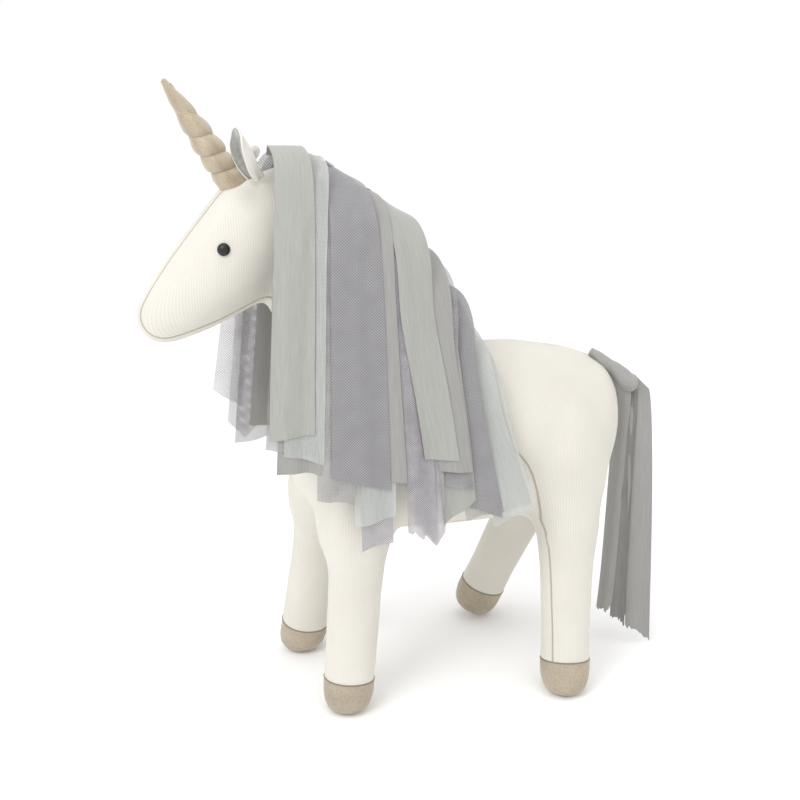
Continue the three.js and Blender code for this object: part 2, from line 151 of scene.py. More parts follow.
def linear(r, g, b):
    """sRGB 0..255 to linear."""
    return tuple((c / 255 / 12.92) if c <= 10 else ((c / 255 + 0.055) / 1.055) ** 2.4 for c in (r, g, b))


# ---------- materials ----------
def jersey_material():
    """Cream rib jersey: wales along each panel, soft blotches, and a groove where "seam" is near zero,
    painted darker as the shade in it.
    """
    m, nodes, links, shader = new_material("jersey")
    cloth = attribute(nodes, "cloth")  # x: across the wales, y: along them, in metres
    seam = attribute(nodes, "seam").outputs["Fac"]  # distance to the nearest seam, in metres
    split = nodes.new("ShaderNodeSeparateXYZ")
    links.new(cloth.outputs["Vector"], split.inputs[0])
    coords = nodes.new("ShaderNodeTexCoord").outputs["Object"]
    wobble = noise_at(nodes, links, coords, 60, 2)
    drift = math_node(nodes, links, "MULTIPLY", wobble, 0.0008)
    across = math_node(nodes, links, "ADD", split.outputs["X"], drift)
    wale = math_node(nodes, links, "PINGPONG", math_node(nodes, links, "MULTIPLY", across, 1 / 0.0014), 0.5)
    courses = math_node(nodes, links, "MULTIPLY", split.outputs["Y"], 1 / 0.0008)
    course = math_node(nodes, links, "PINGPONG", courses, 0.5)
    knit = math_node(nodes, links, "MULTIPLY_ADD", course, 0.25, wale)
    blotch = noise_at(nodes, links, coords, 26, 4)
    fine = noise_at(nodes, links, coords, 900, 2)
    slow = math_node(nodes, links, "MULTIPLY", blotch, 0.5)
    tone = math_node(nodes, links, "MULTIPLY_ADD", wale, 0.5, slow)
    colour = ramp(nodes, links, tone, [(0.1, linear(205, 201, 191)), (0.7, linear(225, 222, 214))])
    groove = nodes.new("ShaderNodeMapRange")
    groove.interpolation_type = "SMOOTHSTEP"
    groove.inputs["From Min"].default_value = 0.0002
    groove.inputs["From Max"].default_value = 0.0009
    links.new(math_node(nodes, links, "ABSOLUTE", seam), groove.inputs["Value"])
    # painted shade: where "seam" is near zero the colour is darkened towards this tone, as the shade in the
    # seam groove
    shade = nodes.new("ShaderNodeMix")
    shade.data_type = "RGBA"
    links.new(groove.outputs[0], shade.inputs["Factor"])
    shade.inputs[6].default_value = (*linear(176, 167, 152), 1)
    links.new(colour, shade.inputs[7])
    links.new(shade.outputs[2], shader.inputs["Base Color"])
    first = bump(nodes, links, groove.outputs[0], 0.5, 0.0008)
    second = bump(nodes, links, knit, 0.35, 0.0003, first)
    links.new(bump(nodes, links, fine, 0.25, 0.0002, second), shader.inputs["Normal"])
    shader.inputs["Roughness"].default_value = 0.92
    shader.inputs["Sheen Weight"].default_value = 0.15
    shader.inputs["Sheen Roughness"].default_value = 0.5
    shader.inputs["Specular IOR Level"].default_value = 0.2
    shader.inputs["Subsurface Weight"].default_value = 0.08
    shader.inputs["Subsurface Radius"].default_value = (0.004, 0.003, 0.002)
    return m


def felt_material(name, dark, light, scale=700, sheen=0.3, roughness=0.95, bump_size=0.0004):
    """A matted cloth: fibres in every direction over slow blotches of colour."""
    m, nodes, links, shader = new_material(name)
    coords = nodes.new("ShaderNodeTexCoord").outputs["Object"]
    fibre = noise_at(nodes, links, coords, scale, 5, 0.7)
    blotch = noise_at(nodes, links, coords, 45, 3)
    slow = math_node(nodes, links, "MULTIPLY", blotch, 0.45)
    tone = math_node(nodes, links, "MULTIPLY_ADD", fibre, 0.55, slow)
    links.new(ramp(nodes, links, tone, [(0.3, dark), (0.7, light)]), shader.inputs["Base Color"])
    links.new(bump(nodes, links, fibre, 0.6, bump_size), shader.inputs["Normal"])
    shader.inputs["Roughness"].default_value = roughness
    shader.inputs["Sheen Weight"].default_value = sheen
    shader.inputs["Specular IOR Level"].default_value = 0.2
    return m


def satin_material():
    """Gold-beige satin: a soft shine, and fine creases that run up from each winding of the thread, painted
    lighter and darker in the colour as their light and shade.
    """
    m, nodes, links, shader = new_material("satin")
    uv = nodes.new("ShaderNodeUVMap")
    uv.uv_map = "cloth"
    stretch = nodes.new("ShaderNodeMapping")
    stretch.inputs["Scale"].default_value = (1, 0.18, 1)
    links.new(uv.outputs[0], stretch.inputs["Vector"])
    crease = noise_at(nodes, links, stretch.outputs[0], 170, 3, 0.5)
    weave = noise_at(nodes, links, nodes.new("ShaderNodeTexCoord").outputs["Object"], 1400, 2)
    # painted light and shade: the crease pattern makes the colour lighter and darker along the creases; the
    # weave noise is the cloth's own tone
    slow = math_node(nodes, links, "MULTIPLY", crease, 0.6)
    tone = math_node(nodes, links, "MULTIPLY_ADD", weave, 0.4, slow)
    stops = [(0.3, linear(150, 134, 112)), (0.52, linear(176, 162, 139)), (0.75, linear(196, 183, 160))]
    links.new(ramp(nodes, links, tone, stops), shader.inputs["Base Color"])
    links.new(bump(nodes, links, crease, 0.4, 0.0006), shader.inputs["Normal"])
    shader.inputs["Roughness"].default_value = 0.42
    shader.inputs["Sheen Weight"].default_value = 0.4
    shader.inputs["Anisotropic"].default_value = 0.4
    return m


def chiffon_material(name, dark, light, alpha):
    """Sheer plain weave: threads both ways, faint lengthwise shading, and light let through."""
    m, nodes, links, shader = new_material(name)
    uv = nodes.new("ShaderNodeUVMap")
    uv.uv_map = "cloth"
    split = nodes.new("ShaderNodeSeparateXYZ")
    links.new(uv.outputs[0], split.inputs[0])
    warps = math_node(nodes, links, "MULTIPLY", split.outputs["X"], 1 / 0.0007)
    warp = math_node(nodes, links, "PINGPONG", warps, 0.5)
    wefts = math_node(nodes, links, "MULTIPLY", split.outputs["Y"], 1 / 0.0007)
    weft = math_node(nodes, links, "PINGPONG", wefts, 0.5)
    stretch = nodes.new("ShaderNodeMapping")
    stretch.inputs["Scale"].default_value = (1, 0.06, 1)
    links.new(uv.outputs[0], stretch.inputs["Vector"])
    streak = noise_at(nodes, links, stretch.outputs[0], 900, 3, 0.6)
    threads = math_node(nodes, links, "ADD", warp, weft)
    slow = math_node(nodes, links, "MULTIPLY", streak, 0.75)
    tone = math_node(nodes, links, "MULTIPLY_ADD", threads, 0.25, slow)
    links.new(ramp(nodes, links, tone, [(0.25, dark), (0.75, light)]), shader.inputs["Base Color"])
    links.new(bump(nodes, links, tone, 0.3, 0.0002), shader.inputs["Normal"])
    shader.inputs["Roughness"].default_value = 0.8
    shader.inputs["Sheen Weight"].default_value = 0.25
    shader.inputs["Specular IOR Level"].default_value = 0.15
    if alpha < 1:
        share = math_node(nodes, links, "MULTIPLY_ADD", threads, 1 - alpha, alpha - 0.1)
        links.new(math_node(nodes, links, "MINIMUM", share, 1.0), shader.inputs["Alpha"])
    return m


def tulle_material(name, dark, light, pitch=0.0014, filled=0.3, hole_shade_colour=None):
    """Net with diamond holes: two sets of slanting threads, thicker at the knots, and bare holes; given a
    hole colour, the holes are painted darker, as the shade seen through them.
    """
    m, nodes, links, shader = new_material(name)
    uv = nodes.new("ShaderNodeUVMap")
    uv.uv_map = "cloth"
    split = nodes.new("ShaderNodeSeparateXYZ")
    links.new(uv.outputs[0], split.inputs[0])
    squeezed = math_node(nodes, links, "MULTIPLY", split.outputs["Y"], 1.05)
    lines = []
    for kind in ("ADD", "SUBTRACT"):
        run = math_node(nodes, links, kind, split.outputs["X"], squeezed)
        count = math_node(nodes, links, "MULTIPLY", run, 1 / pitch)
        lines.append(math_node(nodes, links, "PINGPONG", count, 0.5))
    near = math_node(nodes, links, "MINIMUM", lines[0], lines[1])
    hole = nodes.new("ShaderNodeMapRange")
    hole.interpolation_type = "SMOOTHSTEP"
    hole.inputs["From Min"].default_value = 0.10
    hole.inputs["From Max"].default_value = 0.24
    hole.inputs["To Min"].default_value = 0.95
    hole.inputs["To Max"].default_value = filled
    links.new(near, hole.inputs["Value"])
    links.new(hole.outputs[0], shader.inputs["Alpha"])
    streak = noise_at(nodes, links, uv.outputs[0], 90, 2)
    cloth = ramp(nodes, links, streak, [(0.3, dark), (0.7, light)])
    # painted shade: away from the threads the holes take this darker colour, as the shade seen through the
    # net
    if hole_shade_colour:
        shade = nodes.new("ShaderNodeMix")
        shade.data_type = "RGBA"
        thread = math_node(nodes, links, "SUBTRACT", 1.0, math_node(nodes, links, "MULTIPLY", near, 4.2))
        links.new(math_node(nodes, links, "MAXIMUM", thread, 0.0), shade.inputs["Factor"])
        shade.inputs[6].default_value = (*hole_shade_colour, 1)
        links.new(cloth, shade.inputs[7])
        cloth = shade.outputs[2]
    links.new(cloth, shader.inputs["Base Color"])
    shader.inputs["Roughness"].default_value = 0.75
    shader.inputs["Sheen Weight"].default_value = 0.2
    shader.inputs["Specular IOR Level"].default_value = 0.2
    return m


def plastic_material():
    m, nodes, links, shader = new_material("black_plastic")
    coords = nodes.new("ShaderNodeTexCoord").outputs["Object"]
    wear = noise_at(nodes, links, coords, 500, 3)
    black = ramp(nodes, links, wear, [(0.3, (0.004, 0.004, 0.004)), (0.8, (0.010, 0.009, 0.008))])
    links.new(black, shader.inputs["Base Color"])
    links.new(bump(nodes, links, wear, 0.05, 0.0001), shader.inputs["Normal"])
    shader.inputs["Roughness"].default_value = 0.35
    return m


JERSEY = jersey_material()
LINEN = felt_material("linen", linear(150, 138, 121), linear(190, 178, 159))
VELVET = felt_material("velvet", linear(122, 121, 116), linear(172, 171, 165), scale=420, sheen=0.8)
SATIN = satin_material()
THREAD = felt_material("thread", linear(176, 164, 140), linear(214, 203, 180), scale=2500, sheen=0.1)
WELT = felt_material("welt", linear(128, 116, 100), linear(152, 140, 122), scale=2500, sheen=0.1)
PLASTIC = plastic_material()
CLOTHS = {
    "chiffon": chiffon_material("chiffon", linear(155, 155, 150), linear(171, 171, 166), 1.0),
    "pale": chiffon_material("pale_chiffon", linear(178, 181, 178), linear(197, 199, 196), 0.62),
    "grey": chiffon_material("grey_chiffon", linear(146, 145, 142), linear(161, 160, 157), 1.0),
    "shade": chiffon_material("shade_chiffon", linear(122, 121, 119), linear(142, 140, 138), 1.0),
    "tulle": tulle_material("tulle", linear(146, 144, 146), linear(164, 162, 164)),
    "lilac": tulle_material("lilac_tulle", linear(156, 152, 156), linear(173, 170, 174), filled=0.5),
    "sheer": tulle_material("sheer_tulle", linear(178, 176, 180), linear(198, 196, 199),
                            pitch=0.0017, filled=0.2),
    # painted shade: this net's holes are nearly opaque and painted dark, as the shade seen through them
    "dense": tulle_material("dense_tulle", linear(159, 157, 158), linear(172, 170, 171),
                            pitch=0.0017, filled=0.9,
                            hole_shade_colour=linear(126, 125, 128)),
}


# ---------- mesh helpers ----------
def add_object(name, mesh, material=None, smooth=True):
    o = bpy.data.objects.new(name, mesh)
    bpy.context.scene.collection.objects.link(o)
    if material:
        mesh.materials.append(material)
    if smooth:
        mesh.polygons.foreach_set("use_smooth", [True] * len(mesh.polygons))
    return o


def mesh_from(name, points, faces):
    mesh = bpy.data.meshes.new(name)
    mesh.from_pydata([tuple(p) for p in points], [], faces)
    mesh.update()
    return mesh


def apply_modifiers(o):
    dg = bpy.context.evaluated_depsgraph_get()
    made = bpy.data.meshes.new_from_object(o.evaluated_get(dg), depsgraph=dg)
    o.modifiers.clear()
    o.data = made
    return o


def modifier(o, kind, **settings):
    m = o.modifiers.new(kind.lower(), kind)
    for k, v in settings.items():
        setattr(m, k, v)
    return m


def spline(points, t):
    """A Catmull-Rom point at t from 0 to 1 along a list of points."""
    n = len(points) - 1
    x = min(max(t, 0.0), 1.0) * n
    i = min(int(x), n - 1)
    f = x - i
    p1, p2 = points[i], points[i + 1]
    p0 = points[i - 1] if i else p1 * 2 - p2
    p3 = points[i + 2] if i + 2 <= n else p2 * 2 - p1
    return 0.5 * (2 * p1 + (p2 - p0) * f + (2 * p0 - 5 * p1 + 4 * p2 - p3) * f * f
                  + (3 * p1 - p0 - 3 * p2 + p3) * f**3)


def grid_mesh(name, rows, uvs):
    """A sheet from rows of points, with a UV for each point in metres of cloth."""
    across = len(rows[0])
    faces = []
    for j in range(len(rows) - 1):
        for i in range(across - 1):
            a = j * across + i
            faces.append((a, a + 1, a + 1 + across, a + across))
    mesh = mesh_from(name, [p for row in rows for p in row], faces)
    flat = [uv for row in uvs for uv in row]
    layer = mesh.uv_layers.new(name="cloth")
    for loop in mesh.loops:
        layer.data[loop.index].uv = flat[loop.vertex_index]
    return mesh


# ---------- skin: one continuous body from the fillings ----------
FILLINGS = ["torso_filling", "head_filling"] + [f"leg_{k}_filling" for k in LEGS]
VOXEL = 0.0034
SKIN_OUT = 0.0018  # the skin's outer face lies this far outside a filling


def swollen(node):
    o = add_object(f"swollen_{node}", frame["nodes"][node].data.copy(), smooth=False)
    modifier(o, "REMESH", mode="VOXEL", voxel_size=VOXEL)
    modifier(o, "DISPLACE", strength=SKIN_OUT, mid_level=0)
    return apply_modifiers(o)


def largest_island(mesh):
    bm = bmesh.new()
    bm.from_mesh(mesh)
    left, islands = set(bm.verts), []
    while left:
        seed = left.pop()
        island, edge = {seed}, [seed]
        while edge:
            v = edge.pop()
            for e in v.link_edges:
                w = e.other_vert(v)
                if w in left:
                    left.discard(w)
                    island.add(w)
                    edge.append(w)
        islands.append(island)
    keep = max(islands, key=len)
    bmesh.ops.delete(bm, geom=[v for v in bm.verts if v not in keep], context="VERTS")
    bm.to_mesh(mesh)
    bm.free()


def join(objects, name):
    bm = bmesh.new()
    for o in objects:
        bm.from_mesh(o.data)
        bpy.data.objects.remove(o)
    mesh = bpy.data.meshes.new(name)
    bm.to_mesh(mesh)
    bm.free()
    return add_object(name, mesh, smooth=False)


def inflate(o, pressure, cap, frames=20):
    """Cloth under pressure, with each point kept within cap of where it began."""
    rest = np.array([v.co for v in o.data.vertices])
    cloth = modifier(o, "CLOTH")
    s = cloth.settings
    s.use_pressure = True
    s.uniform_pressure_force = pressure
    s.effector_weights.gravity = 0
    s.tension_stiffness = s.compression_stiffness = 30
    s.bending_stiffness = 2
    s.quality = 4
    scene = bpy.context.scene
    scene.frame_start, scene.frame_end = 1, frames
    for f in range(1, frames + 1):
        scene.frame_set(f)
    apply_modifiers(o)
    moved = np.array([v.co for v in o.data.vertices]) - rest
    far = np.linalg.norm(moved, axis=1, keepdims=True)
    scale = np.minimum(1, cap * np.tanh(far / cap) / np.maximum(far, 1e-9))
    o.data.vertices.foreach_set("co", (rest + moved * scale).ravel())
    o.data.update()
    scene.frame_set(1)


def fairing(name, centre, radii):
    """A rounded lump that fills the hollow between a leg and the torso."""
    bm = bmesh.new()
    bmesh.ops.create_icosphere(bm, subdivisions=4, radius=1)
    mesh = bpy.data.meshes.new(name)
    for v in bm.verts:
        v.co = centre + Vector([c * r for c, r in zip(v.co, radii)])
    bm.to_mesh(mesh)
    bm.free()
    return add_object(name, mesh, smooth=False)


lumps = []
for leg in LEGS:
    hip = PIVOTS[f"leg_{leg}"]
    inboard = Vector((hip.x, MID_Y + (hip.y - MID_Y) * 0.86, 0))
    if leg.startswith("front"):
        lumps.append(fairing(f"shoulder_{leg}", inboard + Vector((-0.001, 0, 0.122)),
                             (0.0255, 0.0235, 0.038)))
    else:
        lumps.append(fairing(f"haunch_{leg}", inboard + Vector((-0.001, 0, 0.140)), (0.0285, 0.0245, 0.050)))
body = join([swollen(n) for n in FILLINGS] + lumps, "body")
modifier(body, "REMESH", mode="VOXEL", voxel_size=VOXEL)
modifier(body, "SMOOTH", factor=0.5, iterations=7)
apply_modifiers(body)
largest_island(body.data)
hips = body.vertex_groups.new(name="hips")
for v in body.data.vertices:
    near = min((v.co - PIVOTS[f"leg_{leg}"] - Vector((0, 0, 0.006))).length for leg in LEGS)
    hips.add([v.index], max(0.0, min(1.0, (0.062 - near) / 0.022)), "REPLACE")
modifier(body, "SMOOTH", factor=0.5, iterations=26, vertex_group="hips")
apply_modifiers(body)
inflate(body, 4.0, 0.0022)
modifier(body, "SMOOTH", factor=0.5, iterations=2)
modifier(body, "SUBSURF", levels=1, render_levels=1)
apply_modifiers(body)

# ---------- where the skin is cut into its pieces ----------
HOOF_TOP = 21 * MM
HEAD_GUSSET = (5, 14)  # mm, half the width of the strip over the forehead and under the jaw
HEAD_AXIS = (0.795, -0.607)  # the head slopes down from the poll to the nose: its run forward and down
NECK_START, NECK_RUN = at(-32, 0, 203), Vector((-0.43, 0, 0.90)).normalized()


def leg_frame(name):
    """A leg's hip, its sole, its axis from sole to hip, and the plane where its skin leaves the torso."""
    hip = PIVOTS[f"leg_{name}"]
    low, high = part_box(f"hoof_{name}")
    sole = Vector(((low.x + high.x) / 2, (low.y + high.y) / 2, 0))
    side = math.copysign(1, hip.y - MID_Y)
    start = Vector((hip.x, MID_Y + side * 0.030, 0.1175))
    run = Vector((0, side * 0.61, -0.79)).normalized()
    return hip, sole, (hip - sole).normalized(), start, run


LEG_FRAMES = {k: leg_frame(k) for k in LEGS}


def hoof_height(name, co):
    """How far a point is above the leg's hoof seam, along the leg."""
    hip, sole, axis, _, _ = LEG_FRAMES[name]
    tilt = 0.0035 if name == "rear_right" else 0
    return (co - sole).dot(axis) - HOOF_TOP - tilt


bm = bmesh.new()
bm.from_mesh(body.data)


def cut(bm, point, normal, wanted):
    """Adds a line of edges where a plane crosses the wanted faces."""
    faces = [f for f in bm.faces if wanted(f.calc_center_median())]
    geom = set(faces)
    for f in faces:
        geom.update(f.edges)
        geom.update(f.verts)
    bmesh.ops.bisect_plane(bm, geom=list(geom), dist=1e-6, plane_co=point, plane_no=normal)


def near_leg(name, c):
    hip = LEG_FRAMES[name][0]
    return c.z < 0.150 and abs(c.x - hip.x) < 0.065 and (c.y - MID_Y) * (hip.y - MID_Y) > 0


cut(bm, NECK_START, NECK_RUN, lambda c: c.z > 0.150)
for k in LEGS:
    hip, sole, axis, start, run = LEG_FRAMES[k]
    cut(bm, start, run, lambda c, k=k: near_leg(k, c))
    tilt = 0.0035 if k == "rear_right" else 0
    cut(bm, sole + axis * (HOOF_TOP + tilt), axis, lambda c, k=k: near_leg(k, c) and c.z < 0.060)
bm.normal_update()


def part_of(c):
    if c.z > 0.150 and (c - NECK_START).dot(NECK_RUN) > 0:
        return "neck_head"
    for k in LEGS:
        if near_leg(k, c) and (c - LEG_FRAMES[k][3]).dot(LEG_FRAMES[k][4]) > 0:
            return f"hoof_{k}" if hoof_height(k, c) < 0 else f"leg_{k}"
    return "torso"


# The wales stand upright on the flanks and fan round the ends: x of each end in mm, and its radius.
WALE_ENDS = {"torso": (-50, 84, 0.040), "neck_head": (-128, -60, 0.024)}


def round_the_ends(p, front, back, radius):
    """A distance along the flank that runs on round the front and the back."""
    x = body_mm(p)[0] * MM
    out = abs(p.y - MID_Y)
    if x < front * MM:
        return front * MM - radius * math.atan2(front * MM - x, out)
    if x > back * MM:
        return back * MM + radius * math.atan2(x - back * MM, out)
    return x


# The seam over the left haunch runs down from the flank to the front of the hind leg: x and z in mm.
HAUNCH_SEAM = [(45, 164), (50, 159), (55, 152.6), (59.3, 144), (63, 133.5), (66.3, 120.6), (69, 104)]
LEG_SEAM_TURN = (219, 207)  # degrees: the way the left hind leg's front seam looks at the hoof and at the top


def off_haunch_seam(x, y, z):
    """Signed distance in mm, seen from the side, to the seam over the left haunch."""
    best = 50
    for (x0, z0), (x1, z1) in zip(HAUNCH_SEAM, HAUNCH_SEAM[1:]):
        run = (x1 - x0, z1 - z0)
        share = ((x - x0) * run[0] + (z - z0) * run[1]) / (run[0] ** 2 + run[1] ** 2)
        share = max(0.0, min(1.0, share))
        off = (x - x0 - run[0] * share, z - z0 - run[1] * share)
        side = math.copysign(math.hypot(*off), run[0] * off[1] - run[1] * off[0])
        best = min(best, side, key=abs)
    return best if y < -25 else math.copysign(50, best)


def seam_distance(part, p):
    """Signed distance from a point to the nearest seam of its part, in metres."""
    x, y, z = (p.x - NOSE_X) / MM - NOSE_TO_ORIGIN, (p.y - MID_Y) / MM, p.z / MM
    if part.startswith("leg_"):
        name = part[4:]
        hip, sole, axis, _, _ = LEG_FRAMES[name]
        centre = sole + axis * (p - sole).dot(axis)
        turn = 150
        if name == "rear_left":
            turn = LEG_SEAM_TURN[0] + (LEG_SEAM_TURN[1] - LEG_SEAM_TURN[0]) * max(0, z - 21) / 83
        angle = math.atan2(p.y - centre.y, p.x - centre.x) - math.radians(turn)
        angle = (angle + math.pi) % (2 * math.pi) - math.pi
        if name == "rear_left":
            low = max(0.0, min(1.0, (HAUNCH_SEAM[-1][1] + 8 - z) / 16))
            return angle * 0.018 * low + off_haunch_seam(x, y, z) * MM * (1 - low)
        return angle * 0.018
    if part == "neck_head":
        line = -96 if z > 300 else -96 + (300 - z) * 0.6
        under = ((-84 - x) * HEAD_AXIS[1] + (307 - z) * HEAD_AXIS[0]) / 16
        half = HEAD_GUSSET[0] + (HEAD_GUSSET[1] - HEAD_GUSSET[0]) * max(0.0, min(1.0, 0.5 + 0.5 * under))
        return (abs(y) - half) * MM if x < line else 50 * MM
    if part == "torso":
        belly = abs(y) - 22 if z < 116 and -30 < x < 68 else 50
        return min(belly, off_haunch_seam(x, y, z), key=abs) * MM
    return 0.05


parts = {}
for f in bm.faces:
    parts.setdefault(part_of(f.calc_center_median()), []).append(f)
PIECES = {}
for part, faces in parts.items():
    verts, order = {}, []
    for f in faces:
        for v in f.verts:
            if v not in verts:
                verts[v] = len(order)
                order.append(v)
    mesh = mesh_from(part, [v.co for v in order], [[verts[v] for v in f.verts] for f in faces])
    o = add_object(f"skin_{part}", mesh, JERSEY)
    mesh.normals_split_custom_set_from_vertices([v.normal for v in order])
    seams = mesh.attributes.new("seam", "FLOAT", "POINT")
    cloth = mesh.attributes.new("cloth", "FLOAT_VECTOR", "POINT")
    for i, v in enumerate(order):
        seams.data[i].value = seam_distance(part, v.co)
        n = v.normal
        if part not in WALE_ENDS:
            hip, sole, axis, _, _ = LEG_FRAMES[part.partition("_")[2]]
            centre = sole + axis * (v.co - sole).dot(axis)
            turn = math.atan2(v.co.y - centre.y, v.co.x - centre.x) * 0.018
            cloth.data[i].vector = (turn, v.co.z, 0)
        else:
            cloth.data[i].vector = (round_the_ends(v.co, *WALE_ENDS[part]), v.co.z, 0)
    PIECES[part] = o
bm.free()
SKIN_SHELL = ([v.co.copy() for v in body.data.vertices], [tuple(f.vertices) for f in body.data.polygons])
bpy.data.objects.remove(body)

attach(PIECES["torso"], "torso")
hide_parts("torso_left_panel", "torso_right_panel", "belly_gusset", "torso_filling")
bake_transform(PIECES["neck_head"])
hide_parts("head_left_panel", "head_right_panel", "head_gusset", "head_filling",
            "eye_left_washer", "eye_right_washer")
for k in LEGS:
    hip, sole, axis, start, run = LEG_FRAMES[k]
    leg = PIECES[f"leg_{k}"]
    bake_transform(leg)
    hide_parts(f"leg_{k}_outer_panel", f"leg_{k}_inner_panel", f"leg_{k}_filling")
    hoof = PIECES[f"hoof_{k}"]
    hoof.data.materials.clear()
    hoof.data.materials.append(LINEN)
    hoof.name = f"hoof_cap_{k}"
    modifier(hoof, "SOLIDIFY", thickness=0.0014, offset=-0.6)
    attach(hoof, f"leg_{k}")
    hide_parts(f"hoof_{k}")


def tube(name, points, radius, material, sides=8, loop=False):
    """A round thread along points, closed on itself or with closed ends."""
    rings, up, count = [], Vector((0, 0, 1)), len(points)
    for i, p in enumerate(points):
        if loop:
            along = (points[(i + 1) % count] - points[i - 1]).normalized()
        else:
            along = (points[min(i + 1, count - 1)] - points[max(i - 1, 0)]).normalized()
        if abs(along.dot(up)) > 0.95:
            up = Vector((1, 0, 0))
        u = along.cross(up).normalized()
        v = along.cross(u).normalized()
        up = -v
        turns = [2 * math.pi * k / sides for k in range(sides)]
        rings.append([p + (u * math.cos(a) + v * math.sin(a)) * radius for a in turns])
    faces = []
    for i in range(count if loop else count - 1):
        for k in range(sides):
            a, b = i * sides + k, i * sides + (k + 1) % sides
            c, d = [(n + sides) % (count * sides) for n in (a, b)]
            faces.append((a, b, d, c))
    if not loop:
        faces.append(list(reversed(range(sides))))
        faces.append([(count - 1) * sides + k for k in range(sides)])
    return add_object(name, mesh_from(name, [p for r in rings for p in r], faces), material)


# ---------- the sewn edge at the top of each hoof ----------
for k in LEGS:
    hip, sole, axis, _, _ = LEG_FRAMES[k]
    lowest = [v.co for v in PIECES[f"leg_{k}"].data.vertices if abs(hoof_height(k, v.co)) < 0.00003]
    centre = sum(lowest, Vector()) / len(lowest)
    lowest.sort(key=lambda c: math.atan2(c.y - centre.y, c.x - centre.x))
    edge = [lowest[0]]
    for c in lowest:
        if (c - edge[-1]).length > 0.0015:
            edge.append(c)
    welt = tube(f"hoof_welt_{k}", edge, 0.00055, WELT, loop=True)
    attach(welt, f"leg_{k}")


def nearest_on_skin(o, p):
    """The closest point of a skin to p, and its normal there, before any pose."""
    _, where, normal, _ = o.closest_point_on_mesh(p)
    return where, normal


# ---------- eyes ----------
for side in ("left", "right"):
    low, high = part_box(f"eye_{side}")
    outward = Vector((-0.19, 0.95 if side == "right" else -0.95, 0.25)).normalized()
    guess = (low + high) / 2 + outward * 0.008
    where, normal = nearest_on_skin(PIECES["neck_head"], guess)
    rings, sides, radius, rise = 9, 40, 0.0037, 0.0026
    points = [Vector((0, 0, rise))]
    for r in range(1, rings + 1):
        a = r / rings * math.pi / 2 * 1.12
        for s in range(sides):
            b = 2 * math.pi * s / sides
            flat = radius * math.sin(a)
            points.append(Vector((flat * math.cos(b), flat * math.sin(b), rise * math.cos(a))))
    faces = [(0, 1 + s, 1 + (s + 1) % sides) for s in range(sides)]
    for r in range(rings - 1):
        for s in range(sides):
            a, b = 1 + r * sides + s, 1 + r * sides + (s + 1) % sides
            faces.append((a, a + sides, b + sides, b))
    faces.append([1 + (rings - 1) * sides + s for s in reversed(range(sides))])
    eye = add_object(f"button_eye_{side}", mesh_from("eye", points, faces), PLASTIC)
    turn = normal.to_track_quat("Z", "Y").to_matrix().to_4x4()
    eye.matrix_world = Matrix.Translation(where + normal * 0.0002) @ turn
    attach(eye, "neck_head")
    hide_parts(f"eye_{side}")

# ---------- horn ----------
HORN_BASE, HORN_TIP = at(-115, 0, 329), at(-149.2, 0, 383.2)
HORN_R, HORN_TIP_R = 0.0082, 0.0013
TURNS, TURNS_EASE = 4.35, 1.5  # turns of the thread; above 1 they lie further apart near the tip
HORN_SUNK = 0.010
horn_axis = (HORN_TIP - HORN_BASE).normalized()
horn_length = (HORN_TIP - HORN_BASE).length
horn_side = Vector((0, 1, 0))
horn_front = horn_axis.cross(horn_side).normalized()


def horn_point(h, angle, r):
    return HORN_BASE + horn_axis * h + (horn_side * math.sin(angle) + horn_front * math.cos(angle)) * r


def horn_radius(h):
    share = max(0.0, min(1.0, h / horn_length))
    return HORN_TIP_R + (HORN_R - HORN_TIP_R) * (1 - share**2.2)


def winding(h, angle):
    """0 to 1 between one winding of the thread and the next."""
    share = max(0.0, min(1.0, h / horn_length))
    return (TURNS * (1 - (1 - share) ** TURNS_EASE) - angle / (2 * math.pi) + 0.25) % 1.0


rows, uvs, SIDES, STEPS = [], [], 72, 150
for j in range(STEPS + 1):
    h = -HORN_SUNK + (horn_length + HORN_SUNK) * j / STEPS
    row, uv = [], []
    for i in range(SIDES + 1):
        angle = 2 * math.pi * i / SIDES
        w = winding(h, angle)
        swell = math.sin(math.pi * w**0.8) ** 0.6
        crinkle = 0.025 * noise.noise(Vector((angle * 1.5, h * 160, 5)))
        r = horn_radius(h) * (0.77 + 0.30 * swell + crinkle)
        if j == STEPS:
            r *= 0.35
        row.append(horn_point(h, angle, r))
        uv.append((angle * 0.008, h))
    rows.append(row)
    uvs.append(uv)
mesh = grid_mesh("horn", rows, uvs)
bm = bmesh.new()
bm.from_mesh(mesh)
bmesh.ops.remove_doubles(bm, verts=bm.verts, dist=1e-6)
rim = [e for e in bm.edges if e.is_boundary and all((v.co - HORN_TIP).length < 0.004 for v in e.verts)]
bmesh.ops.contextual_create(bm, geom=rim)
bmesh.ops.recalc_face_normals(bm, faces=bm.faces)
bm.to_mesh(mesh)
bm.free()
horn = add_object("horn_satin", mesh, SATIN)
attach(horn, "neck_head")
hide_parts("horn_cover", "horn_filling")


for strand in range(2):
    points = []
    for k in range(331):
        share = 0.03 + 0.90 * k / 330
        h = horn_length * share + (strand - 0.5) * 0.0010
        angle = 2 * math.pi * (TURNS * (1 - (1 - share) ** TURNS_EASE) + 0.25)
        points.append(horn_point(h, angle, horn_radius(h) * 0.77 + 0.0004))
    thread = tube(f"horn_winding_{strand}", points, 0.00036, THREAD)
    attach(thread, "neck_head")
    if strand == 0:
        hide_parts("horn_thread")

# ---------- ears ----------
EARS = {
    "left": (at(-98.5, -19, 332), at(-112.5, -23, 359), Vector((-0.97, -0.22, -0.2))),
    "right": (at(-102, 19.5, 330.5), at(-93, 45, 332), Vector((-0.5, 0.1, 0.85))),
}
EAR_HALF_WIDTH = 0.0145


